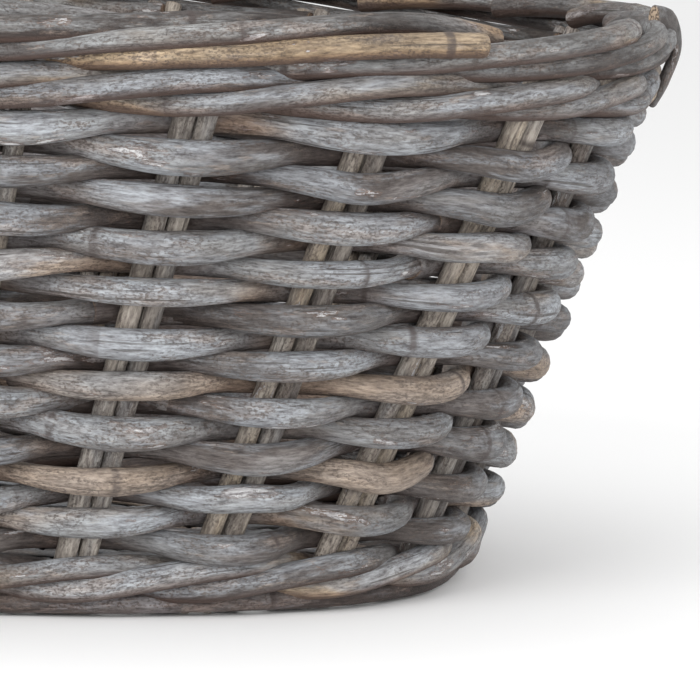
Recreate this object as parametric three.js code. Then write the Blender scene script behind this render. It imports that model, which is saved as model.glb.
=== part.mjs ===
// Wicker log basket: an open, tapered basket of thick grey-washed rattan.
// Millimetres, +Z up, length along X. The origin is at the centre of the base, on the floor.
import * as THREE from "three";

// ---------- driving dimensions (mm) ----------

// The wall is a superellipse |x/a|^m + |y/b|^n = 1 that grows from the floor to the rim level.
const FLOOR = { halfLength: 257, halfWidth: 164, lengthPower: 2, widthPower: 2.8 };
const RIM = { halfLength: 320, halfWidth: 230, lengthPower: 2.8, widthPower: 3.9 };
const RIM_LEVEL = 200;

const STAKE_PAIRS = 30; // upright pairs, evenly spaced round the wall
const STAKE_DIAMETER = 7;
const STAKE_BOTTOM = 1;
const STAKE_TOP = 201;

const WEAVE_ROWS = 19; // one rod each, before one stake pair and behind the next
const ROW_BOTTOM = 27.3; // height of the lowest row
const ROW_PITCH = 8;

const ROD_SWING = 11.2; // how far a rod's centre stands in front of or behind the stakes
const ROD_HALF_DEPTH = 4.2;
const HUMP_HALF_HEIGHT = 5.4; // where a row's rod bows round a stake pair
const CROSSING_HALF_HEIGHT = 3.4; // where rods cross between stakes

// The foot, the wale and the border are bands of three interlaced rods.
const BAND_RODS = 3;
const FOOT = { name: "foot_rod", height: 10.6, climb: 5.9, halfHeight: 4.5 };
const WALE = { name: "wale_rod", height: 183.2, climb: 3.4, halfHeight: 2.8 };
const BORDER = { name: "border_rod", height: 197.6, climb: 4.3, halfHeight: 3.5 };

const BASE_THICKNESS = 5.5;
const BASE_INSET = 12; // from the stakes' line to the edge of the base

// ---------- finishes ----------

const rattan = (color) => new THREE.MeshStandardMaterial({ color, roughness: 0.75, metalness: 0 });
const WEAVER_FINISH = rattan(0x8d8886);
const STAKE_FINISH = rattan(0x98897b);
const BAND_FINISH = rattan(0x97918d);
const BASE_FINISH = rattan(0x857c76);

// ---------- the wall's outline ----------

// Gives points at equal steps of length, anticlockwise from the middle of the front (-Y) side.
function makeOutline({ halfLength, halfWidth, lengthPower, widthPower }) {
  const steps = 1440;
  const points = [];
  for (let i = 0; i <= steps; i++) {
    const angle = (2 * Math.PI * i) / steps;
    const c = Math.cos(angle);
    const s = Math.sin(angle);
    const x = halfLength * Math.sign(s) * Math.abs(s) ** (2 / lengthPower);
    const y = -halfWidth * Math.sign(c) * Math.abs(c) ** (2 / widthPower);
    points.push(new THREE.Vector2(x, y));
  }
  const lengths = [0];
  for (let i = 1; i <= steps; i++) {
    lengths.push(lengths[i - 1] + points[i].distanceTo(points[i - 1]));
  }
  return (fraction) => {
    const target = (fraction - Math.floor(fraction)) * lengths[steps];
    let i = 1;
    while (lengths[i] < target) i++;
    const part = (target - lengths[i - 1]) / (lengths[i] - lengths[i - 1]);
    return points[i - 1].clone().lerp(points[i], part);
  };
}

const floorOutline = makeOutline(FLOOR);
const rimOutline = makeOutline(RIM);

// A point on the stakes' line. A station counts stake spacings from the middle of the front.
function wallPoint(station, height) {
  const fraction = station / STAKE_PAIRS;
  return floorOutline(fraction).lerp(rimOutline(fraction), height / RIM_LEVEL);
}

// The level direction that points straight out of the wall.
function wallOutward(station, height) {
  const before = wallPoint(station - 0.1, height);
  const after = wallPoint(station + 0.1, height);
  const along = after.sub(before).normalize();
  return new THREE.Vector2(along.y, -along.x);
}

// ---------- meshes ----------

function meshFrom(name, positions, faces, material) {
  const geometry = new THREE.BufferGeometry();
  geometry.setAttribute("position", new THREE.Float32BufferAttribute(positions, 3));
  geometry.setIndex(faces);
  geometry.computeVertexNormals();
  const mesh = new THREE.Mesh(geometry, material);
  mesh.name = name;
  return mesh;
}

// A rod that runs once round the wall and joins itself. Its section is a lens.
// shape(station) gives its centre's swing and height, and half its own height.
function ringRod(name, stationsPerStep, shape, material) {
  const positions = [];
  const faces = [];
  const steps = Math.round(STAKE_PAIRS / stationsPerStep);
  for (let i = 0; i < steps; i++) {
    const station = i * stationsPerStep;
    const { swing, height, halfHeight } = shape(station);
    const out = wallOutward(station, height);
    const middle = wallPoint(station, height).addScaledVector(out, swing);
    const outer = middle.clone().addScaledVector(out, ROD_HALF_DEPTH);
    const inner = middle.clone().addScaledVector(out, -ROD_HALF_DEPTH);
    positions.push(outer.x, outer.y, height);
    positions.push(middle.x, middle.y, height + halfHeight);
    positions.push(inner.x, inner.y, height);
    positions.push(middle.x, middle.y, height - halfHeight);
    for (let side = 0; side < 4; side++) {
      const a = 4 * i + side;
      const b = 4 * i + ((side + 1) % 4);
      const c = (a + 4) % (4 * steps);
      const d = (b + 4) % (4 * steps);
      faces.push(a, c, b, b, c, d);
    }
  }
  return meshFrom(name, positions, faces, material);
}

// ---------- the upright stakes ----------

// Two touching rods, side by side along the wall, as one outline.
function stakePairSection() {
  const r = STAKE_DIAMETER / 2;
  const corners = [];
  for (const side of [1, -1]) {
    for (const degrees of [-125, -55, 0, 55, 125]) {
      const angle = THREE.MathUtils.degToRad(degrees);
      corners.push([side * (r + r * Math.cos(angle)), side * r * Math.sin(angle)]);
    }
  }
  return corners;
}

function stakePair(index) {
  const section = stakePairSection();
  const positions = [];
  const faces = [];
  for (const height of [STAKE_BOTTOM, STAKE_TOP]) {
    const centre = wallPoint(index, height);
    const out = wallOutward(index, (STAKE_BOTTOM + STAKE_TOP) / 2);
    const along = new THREE.Vector2(-out.y, out.x);
    for (const [u, v] of section) {
      const corner = centre.clone().addScaledVector(along, u).addScaledVector(out, -v);
      positions.push(corner.x, corner.y, height);
    }
  }
  const n = section.length;
  for (let i = 0; i < n; i++) {
    const j = (i + 1) % n;
    faces.push(i, j, i + n, j, j + n, i + n);
  }
  const flat = section.map(([u, v]) => new THREE.Vector2(u, v));
  for (const [a, b, c] of THREE.ShapeUtils.triangulateShape(flat, [])) {
    faces.push(a, c, b, a + n, b + n, c + n);
  }
  const number = String(index + 1).padStart(2, "0");
  return meshFrom(`stake_pair_${number}`, positions, faces, STAKE_FINISH);
}

// ---------- the woven rods ----------

function weaveRow(row) {
  const height = ROW_BOTTOM + row * ROW_PITCH;
  const firstSide = row % 2 === 0 ? 1 : -1;
  const shape = (station) => {
    const wave = firstSide * Math.cos(Math.PI * station);
    const bow = Math.abs(wave) * (HUMP_HALF_HEIGHT - CROSSING_HALF_HEIGHT);
    return { swing: ROD_SWING * wave, height, halfHeight: CROSSING_HALF_HEIGHT + bow };
  };
  const number = String(row + 1).padStart(2, "0");
  return ringRod(`weave_row_${number}`, 0.5, shape, WEAVER_FINISH);
}

// One of three rods that each pass before two stake pairs, climbing, and then behind one.
function bandRod(band, rod) {
  const swings = [-1, 0, 1, 1, 1, 0];
  const climbs = [0, -1, -1, 0, 1, 1];
  const shape = (station) => {
    const halfSteps = Math.round(2 * (station - rod));
    const phase = ((halfSteps % 6) + 6) % 6;
    return {
      swing: ROD_SWING * swings[phase],
      height: band.height + band.climb * climbs[phase],
      halfHeight: band.halfHeight,
    };
  };
  return ringRod(`${band.name}_${rod + 1}`, 0.5, shape, BAND_FINISH);
}

// ---------- the base ----------

function basePanel() {
  const outline = makeOutline({
    halfLength: FLOOR.halfLength - BASE_INSET,
    halfWidth: FLOOR.halfWidth - BASE_INSET,
    lengthPower: FLOOR.lengthPower,
    widthPower: FLOOR.widthPower,
  });
  const corners = [];
  for (let i = 0; i < 2 * STAKE_PAIRS; i++) {
    corners.push(outline(i / (2 * STAKE_PAIRS)));
  }
  const geometry = new THREE.ExtrudeGeometry(new THREE.Shape(corners), {
    depth: BASE_THICKNESS,
    bevelEnabled: false,
  });
  const mesh = new THREE.Mesh(geometry, BASE_FINISH);
  mesh.name = "base_panel";
  return mesh;
}

// ---------- the basket ----------

const basket = new THREE.Group();
basket.name = "wicker_log_basket";
basket.add(basePanel());
for (let i = 0; i < STAKE_PAIRS; i++) basket.add(stakePair(i));
for (let row = 0; row < WEAVE_ROWS; row++) basket.add(weaveRow(row));
for (const band of [FOOT, WALE, BORDER]) {
  for (let rod = 0; rod < BAND_RODS; rod++) basket.add(bandRod(band, rod));
}

export default basket;
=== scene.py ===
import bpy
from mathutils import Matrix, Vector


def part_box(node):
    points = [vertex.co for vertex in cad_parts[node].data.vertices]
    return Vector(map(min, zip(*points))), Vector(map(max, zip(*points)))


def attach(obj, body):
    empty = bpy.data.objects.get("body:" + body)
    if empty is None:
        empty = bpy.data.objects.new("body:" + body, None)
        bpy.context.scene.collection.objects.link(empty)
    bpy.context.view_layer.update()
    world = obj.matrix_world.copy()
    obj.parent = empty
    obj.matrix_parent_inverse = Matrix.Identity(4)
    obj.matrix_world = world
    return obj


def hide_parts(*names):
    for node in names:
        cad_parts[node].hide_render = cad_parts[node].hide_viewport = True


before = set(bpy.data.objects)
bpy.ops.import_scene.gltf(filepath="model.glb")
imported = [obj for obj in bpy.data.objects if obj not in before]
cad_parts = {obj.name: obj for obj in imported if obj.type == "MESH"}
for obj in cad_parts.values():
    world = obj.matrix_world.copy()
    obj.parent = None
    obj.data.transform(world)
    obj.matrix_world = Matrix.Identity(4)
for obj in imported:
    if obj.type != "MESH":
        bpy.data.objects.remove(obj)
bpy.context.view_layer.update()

import math

import bpy
import numpy as np
from mathutils import Matrix, Vector

# Wicker log basket: every rod of the weave as its own swept strand of washed rattan.
# Metres, Z up, X along the basket. A station counts stake pairs from the middle of the front,
# anticlockwise seen from above.

# ---------- driving dimensions (m) ----------

# Half length, half width, and the powers of x and y in |x/a|^m + |y/b|^n = 1.
FLOOR = (0.257, 0.164, 2.0, 2.8)
RIM = (0.320, 0.230, 2.8, 3.9)
RIM_LEVEL = 0.200

PAIRS = 30
STAKE_RADIUS = 0.0036
STAKE_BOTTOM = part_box("stake_pair_01")[0][2] + 0.0014  # the slanted cut ends stay off the floor
STAKE_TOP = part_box("stake_pair_01")[1][2] - 0.006  # inside the border

ROWS = 19
ROD_RADIUS = 0.0052
ROD_SWING = 0.0090  # a weaver's centre in front of or behind the stakes
HUMP_HALF = 0.0054  # half height of a weaver where it bows over a pair
CROSS_HALF = 0.0042  # and where it is squeezed between stakes
ROD_SAG = 0.0014  # a weaver sinks in front of a pair and rises behind the next

BAND_RODS = 3  # in the foot, in the wale and in the border

# Seeds for the unevenness of each kind of rod.
WEAVE_SEED = 100
STAKE_SEED = 300
FOOT_SEED = 500
WALE_SEED = 520
BORDER_SEED = 560
LOOSE_END_SEED = 620
BASE_SEED = 700
FOOTING_SEED = 800


# ---------- the wall ----------

def superellipse(half_length, half_width, length_power, width_power):
    """Points anticlockwise from the middle of the front, and how far round each one is."""
    steps = 2880
    angle = np.linspace(0, 2 * math.pi, steps + 1)
    c, s = np.cos(angle), np.sin(angle)
    x = half_length * np.sign(s) * np.abs(s) ** (2 / length_power)
    y = -half_width * np.sign(c) * np.abs(c) ** (2 / width_power)
    length = np.r_[0, np.cumsum(np.hypot(np.diff(x), np.diff(y)))]
    return x, y, length / length[-1]


FLOOR_LINE, RIM_LINE = superellipse(*FLOOR), superellipse(*RIM)


def wall(station, height):
    """The stakes' line at stations and heights, as x and y."""
    part = np.mod(np.asarray(station, float) / PAIRS, 1)
    rise = np.asarray(height, float) / RIM_LEVEL
    low = [np.interp(part, FLOOR_LINE[2], FLOOR_LINE[i]) for i in (0, 1)]
    high = [np.interp(part, RIM_LINE[2], RIM_LINE[i]) for i in (0, 1)]
    return np.stack([a + (b - a) * rise for a, b in zip(low, high)], -1)


def outward(station, height):
    """The level direction straight out of the wall."""
    station = np.asarray(station, float)
    along = wall(station + 0.1, height) - wall(station - 0.1, height)
    along /= np.linalg.norm(along, axis=-1, keepdims=True)
    return np.stack([along[..., 1], -along[..., 0]], -1)


def off_wall(station, height, swing):
    """Points that stand off the stakes' line by swing, and the outward direction there."""
    height = np.broadcast_to(height, np.shape(station))
    out = outward(station, height)
    xy = wall(station, height) + out * np.asarray(swing)[..., None]
    return np.c_[xy, height], np.c_[out, np.zeros(len(out))]


# ---------- smooth lines ----------

def smooth_between(a, b, c, d, t):
    """The smooth curve through four even values, t of the way from b to c."""
    return 0.5 * (
        2 * b + (c - a) * t + (2 * a - 5 * b + 4 * c - d) * t**2 + (3 * b - a - 3 * c + d) * t**3
    )


def smooth_noise(n, spacing, rng):
    """A smooth random line of n samples between about -1 and 1, with one knot every spacing."""
    knots = rng.uniform(-1, 1, max(4, int(n / spacing) + 4))
    x = np.linspace(0, len(knots) - 3.001, n)
    i = x.astype(int)
    around = (knots[np.minimum(i + k, len(knots) - 1)] for k in range(4))
    return smooth_between(*around, x - i)


def smooth_path(values, x):
    """A smooth line through the values at 0, 1, 2 ..."""
    values = np.asarray(values, float)
    last = len(values) - 1
    i = np.minimum(np.floor(x).astype(int), last - 1)
    around = (values[np.clip(i + k, 0, last)] for k in (-1, 0, 1, 2))
    return smooth_between(*around, x - i)


def smooth_cycle(values, x):
    """A smooth line through the values at 0, 1, 2 ..., which follow each other in a ring."""
    values = np.asarray(values, float)
    count = len(values)
    i = np.minimum(np.floor(x).astype(int), count - 1)
    around = (values[(i + k) % count] for k in (-1, 0, 1, 2))
    return smooth_between(*around, x - i)


# ---------- rods ----------

UNEVEN = 0.03  # how far a rod's section is off true, as a part of its radius
UNEVEN_EVERY = 0.03  # the length along a rod in which that changes
TWIST_EVERY = 0.08  # and in which it turns round the rod
NODE_LENGTH = 0.003
NODE_SWELL = 0.06
END_DOME = 0.0006  # how far a cut end's middle stands out
END_WEAR = 0.9  # the flat of a cut end, as a part of the rod


def rod_axes(centre, out):
    """Unit vectors along a rod, out of the wall and up, all square to each other."""
    step = np.gradient(centre, axis=0)
    along = step / np.linalg.norm(step, axis=1, keepdims=True)
    side = out - along * np.sum(out * along, 1, keepdims=True)
    side /= np.linalg.norm(side, axis=1, keepdims=True)
    up = np.cross(along, side)
    up *= np.sign(up[:, 2].mean()) or 1
    return along, side, up


def uneven_section(travelled, angle, rng):
    """A rod's radius at each point, as a part of its even one, and how near a node each ring is."""
    n = len(travelled)
    spacing = travelled[-1] / n
    section = np.ones((n, len(angle)))
    for harmonic in (1, 2, 3):
        wave = smooth_noise(n, UNEVEN_EVERY / spacing, rng) * UNEVEN / harmonic
        turn = smooth_noise(n, TWIST_EVERY / spacing, rng) * 1.5 + rng.uniform(0, 6.28)
        section += wave[:, None] * np.cos(harmonic * angle[None] + turn[:, None])
    knot = np.zeros(n)
    place = rng.uniform(0.02, 0.2)
    while place < travelled[-1]:
        knot = np.maximum(knot, np.exp(-(((travelled - place) / NODE_LENGTH) ** 2)))
        place += rng.uniform(0.1, 0.3)
    section += NODE_SWELL * knot[:, None]
    return section, knot


def rod(centre, out, half_out, half_up, rng, sides=16, deep=0.3, under=0.3, tint=None):
    """One rod with cut ends: its points, its faces and the attributes that its wood reads.

    grain is a place in the wood, knot is 1 at a node, cut is 1 on a cut end, deep says how far
    behind its neighbours a point lies, with under added on the lower side, for the wood's painted
    shade there, and tint picks the rod's colour.
    """
    n = len(centre)
    travelled = np.r_[0, np.cumsum(np.linalg.norm(np.diff(centre, axis=0), axis=1))]
    along, side, up = rod_axes(centre, out)
    angle = np.linspace(0, 2 * math.pi, sides, endpoint=False)
    section, knot = uneven_section(travelled, angle, rng)
    half_out = np.broadcast_to(half_out, n).astype(float)
    half_up = np.broadcast_to(half_up, n).astype(float)
    ring = (
        centre[:, None]
        + (half_out[:, None] * section * np.cos(angle))[..., None] * side[:, None]
        + (half_up[:, None] * section * np.sin(angle))[..., None] * up[:, None]
    )
    radius = float(half_out.mean())
    home = rng.uniform(0, 40, 3)  # each rod is cut from wood of its own
    grain = np.stack(
        [
            np.repeat(travelled[:, None], sides, 1) + home[0],
            np.repeat(radius * np.cos(angle)[None], n, 0) + home[1],
            np.repeat(radius * np.sin(angle)[None], n, 0) + home[2],
        ],
        -1,
    )
    # Painted shade: more where a point lies behind its neighbours, and more on the rod's lower side.
    shaded = np.broadcast_to(deep, n)[:, None] + under * np.clip(-np.sin(angle), 0, 1)

    here = np.arange(sides)
    following = (here + 1) % sides
    start = np.arange(n - 1)[:, None] * sides
    quads = np.stack([start + here, start + following, start + following + sides, start + here + sides], -1)
    points = [ring.reshape(-1, 3)]
    faces = [quads.reshape(-1, 4)]
    grains = [grain.reshape(-1, 3)]
    knots = [np.repeat(knot, sides)]
    cuts = [np.zeros(n * sides)]
    depths = [shaded.ravel()]

    # The cut ends: a worn edge, then a flat face with points of its own.
    first = n * sides
    for end, sign in ((0, -1), (n - 1, 1)):
        middle = centre[end] + sign * along[end] * END_DOME
        worn = middle + (ring[end] - centre[end]) * END_WEAR
        points += [worn, worn, middle[None]]
        grains += [grain[end], grain[end], grain[end].mean(0)[None]]
        knots.append(np.zeros(2 * sides + 1))
        cuts += [np.full(sides, 0.3), np.ones(sides + 1)]
        depths.append(np.full(2 * sides + 1, shaded[end].mean()))
        edge, flat, tip = end * sides, first + sides, first + 2 * sides
        band = np.stack([edge + here, edge + following, first + following, first + here], -1)
        fan = np.stack([flat + here, flat + following, np.full(sides, tip)], -1)
        if sign < 0:
            band, fan = band[:, ::-1], fan[:, ::-1]
        faces += [band, fan]
        first = tip + 1
    if np.dot(np.cross(side[0], up[0]), along[0]) < 0:
        faces = [group[:, ::-1] for group in faces]
    points = np.concatenate(points)
    return {
        "points": points,
        "faces": faces,
        "grain": np.concatenate(grains),
        "knot": np.concatenate(knots),
        "cut": np.concatenate(cuts),
        "deep": np.concatenate(depths),
        "tint": np.full(len(points), rng.uniform() if tint is None else tint),
    }


def join_rods(name, rods, material, node):
    """One Blender object from rods, standing for a CAD node."""
    corners, starts, smooth = [], [], []
    first_point = 0
    first_corner = 0
    for one in rods:
        for group in one["faces"]:
            count, size = group.shape
            corners.append((group + first_point).ravel())
            starts.append(first_corner + np.arange(count) * size)
            smooth.append(np.full(count, size == 4))
            first_corner += group.size
        first_point += len(one["points"])
    mesh = bpy.data.meshes.new(name)
    points = np.concatenate([one["points"] for one in rods])
    starts = np.concatenate(starts).astype(np.int32)
    mesh.vertices.add(len(points))
    mesh.vertices.foreach_set("co", points.ravel())
    mesh.loops.add(first_corner)
    mesh.loops.foreach_set("vertex_index", np.concatenate(corners).astype(np.int32))
    mesh.polygons.add(len(starts))
    mesh.polygons.foreach_set("loop_start", starts)
    mesh.polygons.foreach_set("use_smooth", np.concatenate(smooth))
    for key in ("knot", "cut", "deep", "tint"):
        layer = mesh.attributes.new(key, "FLOAT", "POINT")
        layer.data.foreach_set("value", np.concatenate([one[key] for one in rods]))
    layer = mesh.attributes.new("grain", "FLOAT_VECTOR", "POINT")
    layer.data.foreach_set("vector", np.concatenate([one["grain"] for one in rods]).ravel())
    mesh.update(calc_edges=True)
    mesh.validate()
    mesh.materials.append(material)
    piece = bpy.data.objects.new(name, mesh)
    bpy.context.collection.objects.link(piece)
    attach(piece, "root")
    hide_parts(node)
    return piece


# ---------- materials ----------

def linear(r, g, b):
    """A screen colour from 0 to 255 as the linear colour that shaders take."""
    part = [v / 255 for v in (r, g, b)]
    return [v / 12.92 if v <= 0.04045 else ((v + 0.055) / 1.055) ** 2.4 for v in part] + [1.0]


class Nodes:
    """Short calls for building one material's node tree."""

    def __init__(self, name):
        self.material = bpy.data.materials.new(name)
        self.material.use_nodes = True
        self.tree = self.material.node_tree
        self.shader = self.tree.nodes["Principled BSDF"]

    def new(self, kind, **values):
        node = self.tree.nodes.new("ShaderNode" + kind)
        for key, value in values.items():
            setattr(node, key, value)
        return node

    def feed(self, socket, value):
        """Links a socket to another node's output, or sets it to a plain value."""
        if isinstance(value, bpy.types.NodeSocket):
            self.tree.links.new(value, socket)
        else:
            socket.default_value = value

    def attribute(self, name, output="Fac"):
        return self.new("Attribute", attribute_name=name).outputs[output]

    def math(self, operation, a, b):
        node = self.new("Math", operation=operation)
        self.feed(node.inputs[0], a)
        self.feed(node.inputs[1], b)
        return node.outputs[0]

    def plus(self, a, b):
        return self.math("ADD", a, b)

    def minus(self, a, b):
        return self.math("SUBTRACT", a, b)

    def times(self, a, b):
        return self.math("MULTIPLY", a, b)

    def noise(self, grain, along, across, shift=(0, 0, 0), detail=3, roughness=0.55):
        """Noise with so many cells to a metre along a rod, and so many across it."""
        place = self.new("Mapping")
        place.inputs["Scale"].default_value = (along, across, across)
        place.inputs["Location"].default_value = shift
        self.feed(place.inputs["Vector"], grain)
        node = self.new("TexNoise")
        node.inputs["Scale"].default_value = 1.0
        node.inputs["Detail"].default_value = detail
        node.inputs["Roughness"].default_value = roughness
        self.feed(node.inputs["Vector"], place.outputs[0])
        return node.outputs["Fac"]

    def ramp(self, value, stops):
        node = self.new("ValToRGB")
        elements = node.color_ramp.elements
        while len(elements) < len(stops):
            elements.new(0.5)
        for element, (place, colour) in zip(elements, stops):
            element.position = place
            element.color = colour
        self.feed(node.inputs["Fac"], value)
        return node.outputs["Color"]

    def step(self, value, low, high):
        """0 below low, 1 above high, smooth between."""
        node = self.new("MapRange", interpolation_type="SMOOTHSTEP")
        self.feed(node.inputs["Value"], value)
        node.inputs["From Min"].default_value = low
        node.inputs["From Max"].default_value = high
        return node.outputs["Result"]

    def mix(self, factor, a, b, blend="MIX"):
        node = self.new("Mix", data_type="RGBA", blend_type=blend)
        colour_a, colour_b, mixed = node.inputs[6], node.inputs[7], node.outputs[2]
        self.feed(node.inputs["Factor"], factor)
        self.feed(colour_a, a)
        self.feed(colour_b, b)
        return mixed

    def bump(self, height, strength, distance):
        node = self.new("Bump")
        node.inputs["Strength"].default_value = strength
        node.inputs["Distance"].default_value = distance
        self.feed(node.inputs["Height"], height)
        self.feed(self.shader.inputs["Normal"], node.outputs["Normal"])


class Rattan(Nodes):
    """Washed rattan. Its masks run from 0 to 1 and say where each mark shows."""

    def __init__(self, name):
        super().__init__(name)
        grain = self.attribute("grain", "Vector")
        self.deep = self.attribute("deep")
        self.tint = self.attribute("tint")
        self.patch = self.noise(grain, 26, 110, detail=5, roughness=0.65)
        self.drift = self.noise(grain, 11, 30, shift=(3, 1, 7), detail=2)
        self.age = self.noise(grain, 13, 34, shift=(6, 2, 9), detail=3, roughness=0.6)
        self.weather = self.noise(grain, 20, 70, shift=(1, 7, 3), detail=5, roughness=0.68)
        self.stain = self.noise(grain, 34, 130, shift=(2, 8, 5), detail=4, roughness=0.6)
        self.flake = self.noise(grain, 70, 260, shift=(9, 4, 2), detail=6, roughness=0.72)
        self.streak = self.noise(grain, 180, 900, detail=5, roughness=0.72)
        self.mottle = self.noise(grain, 800, 1300, detail=3, roughness=0.65)

        self.bare = self.step(self.flake, 0.57, 0.66)
        skin = self.noise(grain, 36, 150, shift=(4, 4, 2), detail=5, roughness=0.62)
        skin = self.plus(skin, self.times(self.mottle, 0.14))
        self.torn = self.step(skin, 0.69, 0.715)
        self.white = self.step(skin, 0.728, 0.738)
        crack = self.noise(grain, 16, 760, shift=(5, 5, 5), detail=1)
        self.cracked = self.times(self.step(crack, 0.64, 0.70), self.step(self.patch, 0.4, 0.6))
        self.dots = self.times(self.step(self.mottle, 0.50, 0.63), self.step(self.stain, 0.36, 0.56))

    def mark(self, colour, mask, strength, tone):
        """The colour with a mark's own over it, where the mask says and as strongly as given."""
        return self.mix(self.times(mask, strength), colour, linear(*tone))

    def washed_skin(self, palette, wash):
        """Each rod's own tone, under a wash that is laid more on the outer faces, which also paints the
        crests lighter as a painted highlight.
        """
        tone = self.plus(self.tint, self.times(self.minus(self.drift, 0.5), 2.9))
        colour = self.ramp(tone, palette)
        # Partly a painted highlight: the pale wash grows towards the outer faces, where deep is low.
        wash_and_crest_highlight = self.plus(self.patch, self.times(self.minus(0.4, self.deep), 0.16))
        unwashed = self.step(self.tint, 0.9, 0.94)
        most = self.minus(0.66, self.times(unwashed, 0.55))
        colour = self.mix(self.times(self.step(wash_and_crest_highlight, 0.44, 0.62), most), colour, linear(*wash))
        fading = [
            (0.36, linear(186, 183, 181)),
            (0.5, linear(245, 245, 245)),
            (0.6, linear(255, 255, 255)),
        ]
        return self.mix(0.8, colour, self.ramp(self.age, fading), "MULTIPLY")

    def wear(self, colour, worn, weathered):
        """Dark stretches, bare and warm stains, and torn patches with white in the middle."""
        dark = self.step(self.weather, 0.52, 0.62)
        speckle = self.times(self.minus(self.mottle, 0.5), 0.4)
        warm = self.step(self.plus(self.stain, speckle), 0.54, 0.66)
        colour = self.mark(colour, dark, weathered, (94, 87, 82))
        colour = self.mark(colour, self.bare, worn, (160, 147, 136))
        colour = self.mark(colour, warm, 0.45, (160, 146, 136))
        colour = self.mark(colour, self.torn, 0.5, (126, 104, 92))
        return self.mark(colour, self.white, 0.8, (204, 205, 206))

    def add_grain(self, colour):
        """Dark streaks, hairline cracks, specks and the rings at a rod's nodes."""
        lines = [
            (0.30, linear(104, 96, 97)),
            (0.47, linear(206, 203, 203)),
            (0.62, linear(255, 255, 255)),
        ]
        ringed = self.times(self.step(self.attribute("knot"), 0.6, 0.9), self.step(self.flake, 0.3, 0.55))
        colour = self.mix(0.92, colour, self.ramp(self.streak, lines), "MULTIPLY")
        colour = self.mark(colour, self.cracked, 0.7, (66, 60, 56))
        colour = self.mark(colour, self.dots, 0.6, (72, 64, 60))
        return self.mark(colour, ringed, 0.8, (70, 62, 60))

    def add_cut_ends(self, colour):
        """Pale pith with dark pores on the cut ends."""
        pith = self.mix(self.step(self.mottle, 0.45, 0.6), linear(158, 140, 120), linear(84, 72, 64))
        return self.mix(self.attribute("cut"), colour, pith)

    def add_painted_shade(self, colour):
        """Painted shade where a rod lies behind its neighbours, and painted dark creases of shade under it.
        """
        uneven = self.plus(0.3, self.times(self.patch, 0.7))
        # Painted shade, uneven, growing as a rod lies further behind its neighbours.
        painted_shade = self.times(self.step(self.deep, 0.35, 1.0), uneven)
        colour = self.mix(painted_shade, colour, linear(208, 191, 186), "MULTIPLY")
        # Painted shade: dark creases where a rod's lower side lies deepest.
        return self.mark(colour, self.step(self.deep, 0.95, 1.7), 0.75, (70, 53, 46))

    def finish(self, colour):
        """Gives the shader its colour, roughness and bump."""
        self.feed(self.shader.inputs["Base Color"], colour)
        self.feed(self.shader.inputs["Roughness"], self.plus(self.times(self.streak, 0.3), 0.5))
        self.shader.inputs["Specular IOR Level"].default_value = 0.3
        raised = self.plus(self.bare, self.plus(self.torn, self.white))
        sunk = self.plus(self.dots, self.cracked)
        height = self.plus(self.streak, self.times(self.mottle, 0.3))
        height = self.plus(height, self.times(raised, 0.3))
        height = self.minus(height, self.times(sunk, 0.5))
        self.bump(height, strength=0.8, distance=0.0007)


def rattan(name, palette, worn, weathered, wash=(163, 169, 175)):
    """A rattan: worn and weathered say how strongly bare and dark stretches show."""
    wood = Rattan(name)
    colour = wood.washed_skin(palette, wash)
    colour = wood.wear(colour, worn, weathered)
    colour = wood.add_grain(colour)
    colour = wood.add_cut_ends(colour)
    colour = wood.add_painted_shade(colour)
    wood.finish(colour)
    return wood.material


def darker(palette, amount):
    return [(at, [amount * part for part in colour[:3]] + [1.0]) for at, colour in palette]


GREY = [
    (0.0, linear(92, 86, 83)),
    (0.2, linear(120, 115, 113)),
    (0.45, linear(144, 145, 145)),
    (0.65, linear(155, 158, 160)),
    (0.82, linear(158, 153, 148)),
    (1.0, linear(170, 154, 138)),
]
BUFF = [
    (0.0, linear(128, 122, 118)),
    (0.3, linear(156, 155, 154)),
    (0.55, linear(166, 158, 148)),
    (1.0, linear(186, 172, 152)),
]
WARM = [
    (0.0, linear(84, 77, 74)),
    (0.22, linear(110, 105, 103)),
    (0.45, linear(144, 144, 144)),
    (0.7, linear(156, 154, 152)),
    (0.88, linear(164, 156, 146)),
    (1.0, linear(194, 176, 152)),
]
# A darker copy of the bands' palette, painted shade on the rim whose top catches more light, up to the tan
# of the rod that has lost its bark.
BORDER = darker(WARM[:-1], 0.68) + [(1.0, linear(184, 163, 134))]

weaver_wood = rattan("weaver_rattan", GREY, worn=0.4, weathered=0.35)
stake_wood = rattan("stake_rattan", BUFF, worn=0.4, weathered=0.25, wash=(182, 174, 164))
foot_wood = rattan("band_rattan", WARM, worn=0.5, weathered=0.25)
# Painted shade: the wale's palette is a darker copy of the foot's, as the wale's top catches more light.
wale_wood = rattan("wale_rattan", darker(WARM, 0.85), worn=0.5, weathered=0.4)
border_wood = rattan("border_rattan", BORDER, worn=0.45, weathered=0.5, wash=(160, 163, 164))
base_wood = rattan("base_rattan", GREY, worn=0.3, weathered=0.4)


# ---------- the weave ----------

def creep(station, height):
    """Gentle unevenness of the rows' levels, the same for rods that touch."""
    u = 2 * math.pi * np.asarray(station, float) / PAIRS
    z = np.asarray(height, float)
    waves = (
        0.5 * np.sin(3 * u + 90 * z)
        + 0.4 * np.sin(7 * u - 130 * z + 1)
        + 0.35 * np.sin(11 * u + 210 * z + 2)
        + 0.25 * np.sin(17 * u - 330 * z + 4)
    )
    return 0.001 * waves


WEAVER_POINTS = 17  # from one pair to the next
WEAVER_WANDER = 0.0006  # how far a weaver strays from its row's level
WEAVER_LIFT = 0.0020  # and at the few pairs that push it most out of line
SQUARENESS = 0.9  # 0 for a sine wave, more for longer stretches along the pairs


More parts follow.
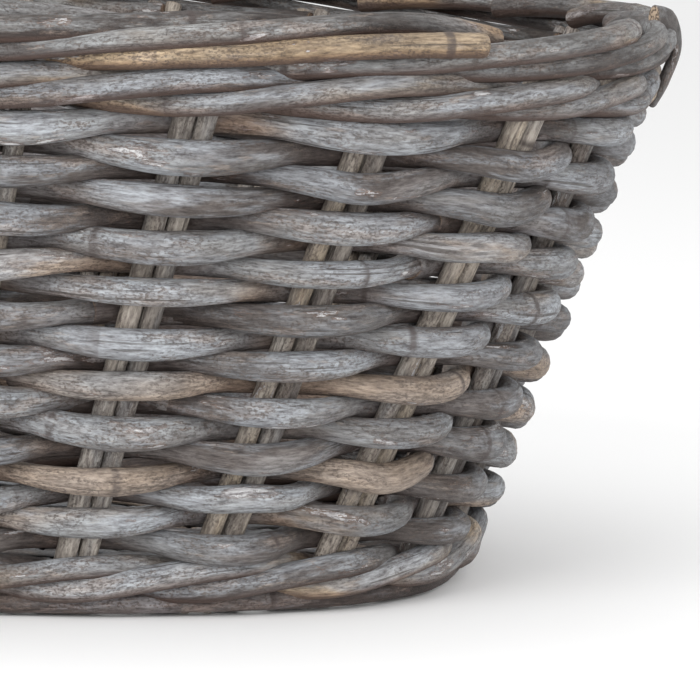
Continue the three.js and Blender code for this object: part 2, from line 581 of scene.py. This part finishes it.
def weaver(row, start, end, rng):
    """A weaver from one station to another, before every other pair and behind the rest."""
    low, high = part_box(f"weave_row_{row + 1:02d}")
    level = (low[2] + high[2]) / 2
    n = int((end - start) * WEAVER_POINTS)
    u = np.linspace(start, end, n)
    side = 1 if row % 2 == 0 else -1
    wave = np.cos(math.pi * u) * side
    shaped = np.tanh(SQUARENESS * wave) / math.tanh(SQUARENESS)
    # Each pair bulges and lifts the rod in its own way.
    at_pair = rng.uniform(-1, 1, (2, 3 * PAIRS))
    bulge, lift = (line[np.round(u).astype(int) % len(line)] for line in at_pair)
    height = level + creep(u, level) + smooth_noise(n, WEAVER_POINTS, rng) * WEAVER_WANDER
    height = height - ROD_SAG * (1 + 0.4 * bulge) * wave + lift**3 * wave**4 * WEAVER_LIFT
    thick = rng.uniform(0.92, 1.08)
    centre, out = off_wall(u, height, ROD_SWING * shaped * (1 + 0.09 * bulge * wave**2))
    half_up = (CROSS_HALF + (HUMP_HALF - CROSS_HALF) * np.abs(wave)) * thick
    half_up = half_up * (1 + 0.08 * smooth_noise(n, 30, rng))
    # Painted shade on the stretches that pass behind the pairs.
    return rod(centre, out, ROD_RADIUS * thick, half_up, rng, deep=0.5 - 0.5 * shaped)


def weave_rows():
    """Two rods to a row. Each starts and ends behind a pair, out of sight from outside."""
    for row in range(ROWS):
        rng = np.random.default_rng(WEAVE_SEED + row)
        behind = 1 if row % 2 == 0 else 0
        first = 2 * int(rng.integers(0, PAIRS // 2)) + behind
        second = first + 2 * int(rng.integers(6, 9))
        strands = [
            weaver(row, first - 0.35, second + 0.35, rng),
            weaver(row, second - 0.3, first + PAIRS + 0.3, rng),
        ]
        name = f"weave_row_{row + 1:02d}"
        join_rods(f"{name}_rattan", strands, weaver_wood, name)


def stake(pair, hand, rng):
    """One of a pair's two touching stakes, on its hand's side."""
    n = 64
    z = np.linspace(STAKE_BOTTOM, STAKE_TOP, n)
    centre, out = off_wall(np.full(n, pair), z, smooth_noise(n, 30, rng) * 0.0004)
    along = np.c_[-out[:, 1], out[:, 0], np.zeros(n)]
    aside = hand * STAKE_RADIUS * 1.04 + smooth_noise(n, 25, rng) * 0.0006
    size = STAKE_RADIUS * rng.uniform(0.92, 1.04)
    return rod(centre + along * aside[:, None], out, size, size, rng, sides=12, deep=0.1, under=0)


def stakes():
    for pair in range(PAIRS):
        rng = np.random.default_rng(STAKE_SEED + pair)
        rods = [stake(pair, hand, rng) for hand in (-1, 1)]
        name = f"stake_pair_{pair + 1:02d}"
        join_rods(f"{name}_rods", rods, stake_wood, name)


# ---------- the bands ----------

# At every half pair of a cycle of three: inside one pair, then out, round two pairs and back in.
BAND_SWINGS = (-1, -0.1, 1, 1.06, 1, 0.1)
BAND_CLIMBS = (0, -0.9, -0.9, 0, 0.9, 0.9)
BAND_CYCLE = 3
BAND_TUCK = 0.3  # how far past the middle of its last pair a strand ends
BAND_POINTS = 18  # from one pair to the next


def band_strand(start, end, number, level, climb, swing, half_out, half_up, rng):
    """A band's rod between two stations: it passes before two pairs, climbing, then behind one."""
    n = int((end - start + 2 * BAND_TUCK) * BAND_POINTS)
    u = np.linspace(start - BAND_TUCK, end + BAND_TUCK, n)
    phase = np.mod(u - number, BAND_CYCLE) * 2
    z = level + climb * smooth_cycle(BAND_CLIMBS, phase) + creep(u, level) * 0.7
    z = z + smooth_noise(n, 20, rng) * 0.0007
    reach = smooth_cycle(BAND_SWINGS, phase) * swing * (1 + 0.05 * smooth_noise(n, 15, rng))
    centre, out = off_wall(u, z, reach)
    size = rng.uniform(0.93, 1.07) * (1 + 0.06 * smooth_noise(n, 40, rng))
    # Painted shade on the stretches behind the pairs, and heavy painted shade on the lower sides.
    deep = 0.5 - 0.5 * np.clip(reach / swing, -1, 1)
    return rod(centre, out, half_out * size, half_up * size, rng, deep=deep, under=2.0)


def band(name, wood, level, climb, swing, half_out, half_up, seed, extra=None):
    """Three interlaced rods, each of three strands whose ends meet behind a pair."""
    for number in range(BAND_RODS):
        rng = np.random.default_rng(seed + number)
        first = number + BAND_CYCLE * int(rng.integers(0, PAIRS // BAND_CYCLE))
        second = first + BAND_CYCLE * int(rng.integers(3, 5))
        third = first + BAND_CYCLE * int(rng.integers(6, 8))
        joins = [first, second, third, first + PAIRS]
        strands = [
            band_strand(start, end, number, level, climb, swing, half_out, half_up, rng)
            for start, end in zip(joins, joins[1:])
        ]
        if extra:
            strands += extra(number)
        node = f"{name}_{number + 1}"
        join_rods(f"{node}_rattan", strands, wood, node)


FOOTING_FROM, FOOTING_TO = -0.2, 2.9  # stations from the pair that it starts behind
FOOTING_LEVEL = 0.0046
FOOTING_CLIMB = 0.0008  # in one cycle
FOOTING_INSIDE = -0.004  # where its ends lie, off the stakes' line
FOOTING_ARCH = 0.0085  # how far its middle bows out from there


def footing_rod(start, rng):
    """One rod, dark in tone and darker still in painted shade, low under the foot's own. It starts behind a
    pair and passes before two.
    """
    n = 44
    t = np.linspace(FOOTING_FROM, FOOTING_TO, n)
    turn = math.pi * (t - FOOTING_FROM) / (FOOTING_TO - FOOTING_FROM)
    arch = np.clip(np.sin(turn), 0, 1) ** 0.5
    z = FOOTING_LEVEL + FOOTING_CLIMB * t / BAND_CYCLE + smooth_noise(n, 15, rng) * 0.0003
    centre, out = off_wall(start + t, z, FOOTING_INSIDE + FOOTING_ARCH * arch)
    # Painted shade: a high deep darkens it where it sits low under the foot.
    return rod(centre, out, 0.0037, 0.0035, rng, deep=0.85, tint=0.15)


def footing(number):
    """The footing rods that start behind the same pairs as one of the foot's rods."""
    rods = []
    for cycle in range(0, PAIRS, 2 * BAND_CYCLE):
        rng = np.random.default_rng(FOOTING_SEED + cycle + number)
        for start in (cycle + number, cycle + BAND_CYCLE + number):
            rods.append(footing_rod(start, rng))
    return rods


# ---------- the border ----------

BORDER_LEVEL = 0.198
BORDER_RADIUS = 0.0039

# A pair's top at every half pair: turned down to the right, outside the next two, then inside.
TURN_OUT = (-0.002, 0.005, 0.0095, 0.011, 0.010, 0.006, -0.001, -0.008, -0.010)
TURN_UP = (-0.007, -0.0064, -0.0042, -0.0002, 0.003, 0.0054, 0.0064, 0.0042, -0.001)

# This pair's top is cut off outside instead of being tucked in.
CUT_PAIR = 2
CUT_LENGTH = 2.31
CUT_OUT = (-0.002, 0.0085, 0.0112, 0.0122, 0.0132)
CUT_UP = (-0.007, -0.005, -0.0035, -0.0005, 0.0024)
CUT_RADIUS = 0.0041
CUT_TINT = 1.0


def turned_top(pair):
    """The top of a pair's stakes, laid down into the border."""
    rng = np.random.default_rng(BORDER_SEED + pair)
    length = rng.uniform(3.35, 3.75)
    tint = rng.uniform(0, 0.75)
    n = 76
    t = np.linspace(0, length, n)
    up = smooth_path(TURN_UP, 2 * t)
    reach = smooth_path(TURN_OUT, 2 * t) + smooth_noise(n, 20, rng) * 0.0008
    size = BORDER_RADIUS * rng.uniform(0.92, 1.1) * (1 + 0.05 * smooth_noise(n, 30, rng))
    if pair == CUT_PAIR:
        t = np.linspace(0, CUT_LENGTH, n)
        spread = t / CUT_LENGTH * (len(CUT_UP) - 1)
        up = smooth_path(CUT_UP, spread)
        reach = smooth_path(CUT_OUT, spread)
        size = np.full(n, CUT_RADIUS)
        tint = CUT_TINT
    lift = smooth_noise(n, 18, rng) * 0.0009 + rng.uniform(-0.0007, 0.0007)
    z = BORDER_LEVEL + up + lift + creep(pair + t, BORDER_LEVEL)
    centre, out = off_wall(pair + t, z, reach)
    # Painted shade where the turned top dips inside the wall, and dark painted shade on its lower side.
    deep = np.clip(0.45 - reach / 0.024, 0, 1)
    return rod(centre, out, size, size, rng, deep=deep, under=2.2, tint=tint)


def loose_end():
    """A split rod at the +X end that has sprung out of the border and hangs clear of the wall."""
    rng = np.random.default_rng(LOOSE_END_SEED)
    stations = (6.6, 6.95, 7.2, 7.25, 7.3)
    heights = (0.208, 0.2055, 0.1965, 0.185, 0.1765)
    swings = (0.004, 0.0105, 0.0155, 0.0158, 0.0142)
    half_thick, half_wide = 0.0021, 0.0044
    t = np.linspace(0, len(stations) - 1, 48)
    u, z, reach = (smooth_path(values, t) for values in (stations, heights, swings))
    centre, out = off_wall(u, z, reach)
    return rod(centre, out, half_thick, half_wide, rng, deep=0.3, tint=0.3)


def border():
    for number in range(BAND_RODS):
        strands = [turned_top(pair) for pair in range(number, PAIRS, BAND_RODS)]
        if number == 0:
            strands.append(loose_end())
        node = f"border_rod_{number + 1}"
        join_rods(f"{node}_rattan", strands, border_wood, node)


# ---------- the base ----------

BASE_OVERLAP = 0.010  # how far the base runs past the CAD panel, out to the stakes
FLAT_PITCH = 0.0108  # from one flat weaver to the next
FLAT_HALF_WIDE = 0.0050
FLAT_HALF_THICK = 0.0011
FLAT_SWING = 0.0016  # a flat weaver's centre over or under the sticks
STICK_PITCH = 0.046  # from one pair of sticks to the next
STICK_APART = 0.0038  # from the middle of a pair to each stick
STICK_HALF_WIDE = 0.0036
STICK_HALF_THICK = 0.0010


def base_weavers(half_x, half_y, middle, rng):
    """Flat weavers along the basket, over and under the pairs of sticks."""
    weavers = []
    count = int(half_y * 2 / FLAT_PITCH)
    for i in range(count):
        y = (i + 0.5) * FLAT_PITCH - count * FLAT_PITCH / 2
        reach = half_x * (1 - abs(y / half_y) ** FLOOR[3]) ** (1 / FLOOR[2])
        n = max(16, int(reach * 2 / 0.004))
        x = np.linspace(-reach, reach, n)
        wave = np.sin(math.pi * (x / STICK_PITCH + i))
        z = middle + FLAT_SWING * np.tanh(1.6 * wave)
        centre = np.c_[x, np.full(n, y) + smooth_noise(n, 30, rng) * 0.0004, z]
        out = np.tile([0.0, 1.0, 0.0], (n, 1))
        weavers.append(rod(centre, out, FLAT_HALF_WIDE, FLAT_HALF_THICK, rng, sides=10))
    return weavers


def base_sticks(half_x, half_y, middle, rng):
    """Pairs of flat sticks across the basket."""
    sticks = []
    pairs = int(half_x / STICK_PITCH)
    for k in range(-pairs - 1, pairs + 1):
        for hand in (-1, 1):
            x = (k + 0.5) * STICK_PITCH + hand * STICK_APART
            if abs(x) > half_x * 0.98:
                continue
            reach = half_y * (1 - abs(x / half_x) ** FLOOR[2]) ** (1 / FLOOR[3])
            n = max(10, int(reach * 2 / 0.008))
            y = np.linspace(-reach, reach, n)
            centre = np.c_[np.full(n, x), y, np.full(n, middle)]
            out = np.tile([1.0, 0.0, 0.0], (n, 1))
            sticks.append(rod(centre, out, STICK_HALF_WIDE, STICK_HALF_THICK, rng, sides=10))
    return sticks


def base_weave():
    low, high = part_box("base_panel")
    rng = np.random.default_rng(BASE_SEED)
    half_x, half_y = high[0] + BASE_OVERLAP, high[1] + BASE_OVERLAP
    middle = (low[2] + high[2]) / 2 + 0.0003  # the weavers' lowest sides stay off the floor
    rods = base_weavers(half_x, half_y, middle, rng)
    rods += base_sticks(half_x, half_y, middle, rng)
    join_rods("base_weave", rods, base_wood, "base_panel")


# ---------- the basket ----------

weave_rows()
stakes()
band(
    "foot_rod",
    foot_wood,
    level=0.0140,
    climb=0.0042,
    swing=0.0072,
    half_out=0.0045,
    half_up=0.0044,
    seed=FOOT_SEED,
    extra=footing,
)
band(
    "wale_rod",
    wale_wood,
    level=0.1822,
    climb=0.0041,
    swing=0.0096,
    half_out=0.0048,
    half_up=0.0042,
    seed=WALE_SEED,
)
border()
base_weave()


# ---------- the stage ----------

FLOOR_REACH = 30.0
SKY_STRENGTH = 0.95
LIT_POINT = Vector((0.1, 0, 0.1))

# Name, place, size in metres and power in watts.
LIGHTS = (
    ("key", (-0.6, -2.1, 1.15), 1.3, 33.0),
    ("front", (0.5, -2.6, 0.35), 1.2, 22.0),
    ("fill", (1.9, -1.2, 0.9), 1.6, 18.0),
    ("top", (0.2, 0.3, 2.4), 2.0, 4.0),
)

CAMERA_PLACE = (0.3247, -1.6956, 0.2563)
CAMERA_YAW = math.radians(-3.476)
CAMERA_PITCH = math.radians(5.940)  # down
CAMERA_ROLL = math.radians(2.704)
CAMERA_LENS = 240.04
CAMERA_SENSOR = 36


def pale_floor():
    r = FLOOR_REACH
    corners = [(-r, -r, 0), (r, -r, 0), (r, r, 0), (-r, r, 0)]
    mesh = bpy.data.meshes.new("floor")
    mesh.from_pydata(corners, [], [(0, 1, 2, 3)])
    floor = bpy.data.objects.new("floor", mesh)
    bpy.context.collection.objects.link(floor)
    pale = Nodes("pale_floor")
    pale.shader.inputs["Base Color"].default_value = (0.9, 0.9, 0.9, 1)
    pale.shader.inputs["Roughness"].default_value = 0.9
    mesh.materials.append(pale.material)


def studio_light():
    world = bpy.data.worlds.new("studio")
    bpy.context.scene.world = world
    world.use_nodes = True
    sky = world.node_tree.nodes["Background"]
    sky.inputs["Color"].default_value = (1.0, 1.0, 1.0, 1)
    sky.inputs["Strength"].default_value = SKY_STRENGTH
    for name, place, size, power in LIGHTS:
        light = bpy.data.lights.new(name, "AREA")
        light.size = size
        light.energy = power
        lamp = bpy.data.objects.new(name, light)
        lamp.location = place
        lamp.rotation_euler = (LIT_POINT - Vector(place)).to_track_quat("-Z", "Y").to_euler()
        bpy.context.collection.objects.link(lamp)


def camera():
    """A long lens a little above the rim, close to the basket's right half."""
    yaw, pitch, roll = CAMERA_YAW, CAMERA_PITCH, CAMERA_ROLL
    ahead = Vector((math.sin(yaw) * math.cos(pitch), math.cos(yaw) * math.cos(pitch), -math.sin(pitch)))
    level = Vector((math.cos(yaw), -math.sin(yaw), 0))
    right = math.cos(roll) * level + math.sin(roll) * level.cross(ahead)
    up = right.cross(ahead)
    data = bpy.data.cameras.new("camera")
    data.sensor_width = CAMERA_SENSOR
    data.lens = CAMERA_LENS
    data.clip_start, data.clip_end = 0.01, 100
    cam = bpy.data.objects.new("camera", data)
    turn = Matrix((right, up, -ahead)).transposed().to_4x4()
    cam.matrix_world = Matrix.Translation(CAMERA_PLACE) @ turn
    bpy.context.collection.objects.link(cam)
    bpy.context.scene.camera = cam


pale_floor()
studio_light()
camera()
bpy.context.scene.view_settings.view_transform = "Standard"
